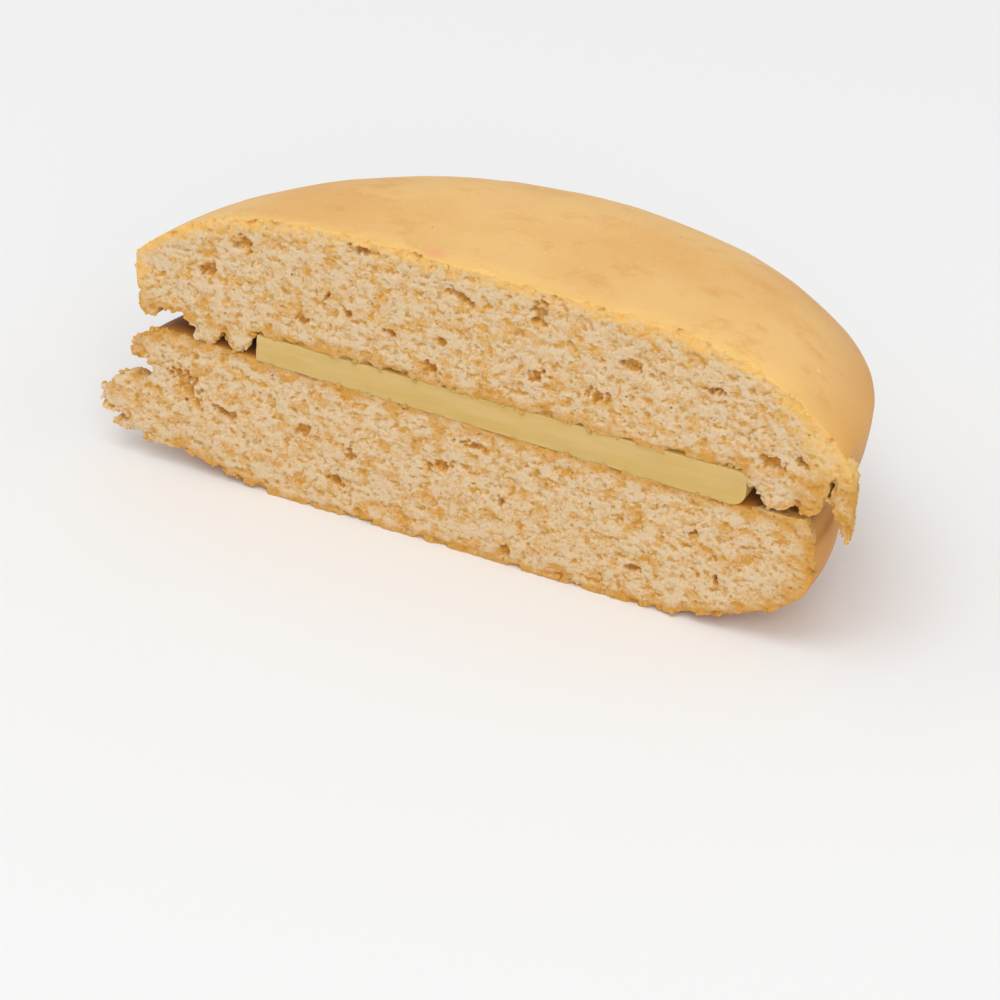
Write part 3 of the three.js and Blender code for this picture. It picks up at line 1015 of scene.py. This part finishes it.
# The large gas pockets, as in the lower cookie.
TOP_POCKETS = [
    (-31, 23.5, 2.2, 1.6, -20),
    (-27, 27.5, 1.9, 1.4, 0),
    (-20, 20.7, 1.7, 1.0, 0),
    (-17, 24.2, 0.9, 1.6, 30),
    (-14.5, 22.9, 1.2, 1.0, 0),
    (-13.3, 30.1, 3.0, 1.0, 0),
    (-9.6, 22.2, 1.5, 1.0, 20),
    (-5, 19.5, 2.2, 1.2, 25),
    (-2, 28, 2.6, 1.1, 25),
    (-3.9, 22.7, 1.5, 0.9, 0),
    (6.6, 28.6, 1.6, 3.0, 20),
    (7, 21.8, 2.3, 1.4, 0),
    (13.6, 21.4, 2.3, 1.5, 0),
    (17, 25.7, 2.2, 1.0, 0),
    (26, 25.5, 2.2, 0.9, 0),
    (32.6, 19.6, 2.6, 1.3, 0),
    (35.6, 20.4, 1.6, 1.0, 20),
]
combine(top_cookie, torn_slab(FLAP_GROOVE, depth=4), "DIFFERENCE")
combine(top_cookie, torn_slab(HANGING_LEFT, depth=3), "UNION")
combine(top_cookie, torn_slab(HANGING_RIGHT, depth=3), "UNION")
combine(top_cookie, torn_slab(FLAP, depth=3), "UNION")
foot_fringe = crumb_fringe(start_x=-24.5, end_x=29.5, start_z=17.9, end_z=17.9, seed=5)
combine(top_cookie, foot_fringe, "UNION")
top_outside = surface_of(top_cookie)
top_block = cut_block(
    CUT_WIDTH,
    foot_z=13 * MM,
    crown_z=33 * MM,
    pitch=CRUMB_PITCH,
    relief=lambda block: tear(block, top_outside, TOP_POCKETS),
)
combine(top_cookie, top_block, "INTERSECT")
finish_sponge(top_cookie, top_skin, top_outside, TOP_CENTRE_X, TOP_POCKETS)
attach(top_cookie, "root")
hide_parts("top_cookie")


# ---------------------------------------------------------------------- the loose crumbs
# Crumbs of the same sponge that the knife left clinging along the edges of the cut. One crumb
# is made, then copied, turned and sized anew at each place, half sunk into the sponge. All are
# kept between the cookie's own corners.
CRUMB_COUNT = 170  # on each cookie
CRUMB_SMALLEST = 0.1 * MM
CRUMB_LARGEST = 0.32 * MM
CRUMB_STRETCH = (0.7, 1.3)
CRUMB_LUMPS = 0.7  # these two are shares of the crumb's radius
CRUMB_LUMP_HEIGHT = 1.2
EDGE_REACH = 0.3 * MM
FRONT_REACH = 1.4 * MM
NEAREST_CORNER = Vector((-43.5 * MM, -17 * MM, 0.5 * MM))
FARTHEST_CORNER = Vector((40.8 * MM, 0, 30.9 * MM))

deselect_all()
bpy.ops.mesh.primitive_uv_sphere_add(segments=7, ring_count=5, radius=1)
pattern_crumb = bpy.context.object
displace(pattern_crumb, noise("crumb_lumps", CRUMB_LUMPS, noise_depth=1), CRUMB_LUMP_HEIGHT)
draw = random.Random(11)
crumbs = []
for sponge, outside in ((top_cookie, top_outside), (bottom_cookie, bottom_outside)):
    at_edge = [
        vertex.co
        for vertex in sponge.data.vertices
        if vertex.co.y < CUT_Y + FRONT_REACH and outside.find_nearest(vertex.co)[3] < EDGE_REACH
    ]
    for place in draw.sample(at_edge, CRUMB_COUNT):
        crumb = pattern_crumb.copy()
        crumb.data = pattern_crumb.data.copy()
        crumb.location = [
            max(low, min(high, at)) for low, at, high in zip(NEAREST_CORNER, place, FARTHEST_CORNER)
        ]
        crumb.rotation_euler = [draw.uniform(0, math.tau) for axis in range(3)]
        size = between(CRUMB_SMALLEST, CRUMB_LARGEST, draw.random() ** 2)
        crumb.scale = [size * draw.uniform(*CRUMB_STRETCH) for axis in range(3)]
        bpy.context.collection.objects.link(crumb)
        crumbs.append(crumb)
bpy.data.objects.remove(pattern_crumb)
loose_crumbs = join_all(crumbs)
bpy.ops.object.transform_apply(location=True, rotation=True, scale=True)
bpy.ops.object.shade_smooth()
loose_crumbs.name = "loose_crumbs"
browned = loose_crumbs.data.attributes.new("browned", "FLOAT", "POINT")
for vertex in loose_crumbs.data.vertices:
    browned.data[vertex.index].value = 1
loose_crumbs.data.materials.append(torn_crumb)
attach(loose_crumbs, "root")


# ---------------------------------------------------------------------- the table and the light
# A plain pale table under large soft studio lights, one above and one in front on the right.
# The paper is matt, so that the cookie leaves only a soft shadow on it.
TABLE_SIZE = 6
PAPER_WHITE = "#f2f2f2"
WORLD_WHITE = "#ffffff"
WORLD_LIGHT = 0.64

deselect_all()
bpy.ops.mesh.primitive_plane_add(size=TABLE_SIZE)
table = bpy.context.object
table.name = "table"
paper = new_material("white_paper")
surface = add_node(
    paper, "ShaderNodeBsdfPrincipled", {"Base Color": linear(PAPER_WHITE), "Roughness": 0.9}
)
add_node(paper, "ShaderNodeOutputMaterial", links={"Surface": surface})
table.data.materials.append(paper)

world = bpy.data.worlds.new("studio")
bpy.context.scene.world = world
world.use_nodes = True
world.node_tree.nodes["Background"].inputs["Color"].default_value = linear(WORLD_WHITE)
world.node_tree.nodes["Background"].inputs["Strength"].default_value = WORLD_LIGHT


def towards(turn, lift):
    """The direction from the cookie at that azimuth, from -Y towards +X, and elevation."""
    level = math.cos(lift)
    return Vector((math.sin(turn) * level, -math.cos(turn) * level, math.sin(lift)))


def add_softbox(name, azimuth, elevation, distance, size, power):
    """A square area light that looks at the cookie from that side."""
    turn, lift = math.radians(azimuth), math.radians(elevation)
    side = towards(turn, lift)
    light = bpy.data.lights.new(name, "AREA")
    light.size = size
    light.energy = power
    softbox = bpy.data.objects.new(name, light)
    bpy.context.collection.objects.link(softbox)
    softbox.location = Vector((0, 0, 15 * MM)) + distance * side
    softbox.rotation_euler = side.to_track_quat("Z", "Y").to_euler()


add_softbox("top_softbox", azimuth=-10, elevation=68, distance=1.8, size=1.2, power=9.5)
add_softbox("front_softbox", azimuth=30, elevation=30, distance=1.8, size=1.0, power=10.5)

# The camera stands at the photographed angle, rolled as it was held.
CAMERA_AZIMUTH = math.radians(26.0)
CAMERA_ELEVATION = math.radians(26.1)
CAMERA_ROLL = math.radians(3.9)
CAMERA_DISTANCE = 379.1 * MM
CAMERA_TARGET = Vector((0, CUT_Y, 15 * MM))
FOCAL_LENGTH = 136.1  # mm
SENSOR_WIDTH = 36  # mm
TARGET_SHIFT = (0.0327, -0.0771)  # shares of the frame

view = towards(CAMERA_AZIMUTH, CAMERA_ELEVATION)
lens = bpy.data.cameras.new("camera")
lens.lens = FOCAL_LENGTH
lens.sensor_width = SENSOR_WIDTH
lens.shift_x, lens.shift_y = TARGET_SHIFT
camera = bpy.data.objects.new("camera", lens)
bpy.context.collection.objects.link(camera)
camera.location = CAMERA_TARGET + CAMERA_DISTANCE * view
upright = view.to_track_quat("Z", "Y").to_matrix()
camera.rotation_euler = (upright @ Matrix.Rotation(CAMERA_ROLL, 3, "Z")).to_euler()
bpy.context.scene.camera = camera
bpy.context.scene.view_settings.view_transform = "Standard"
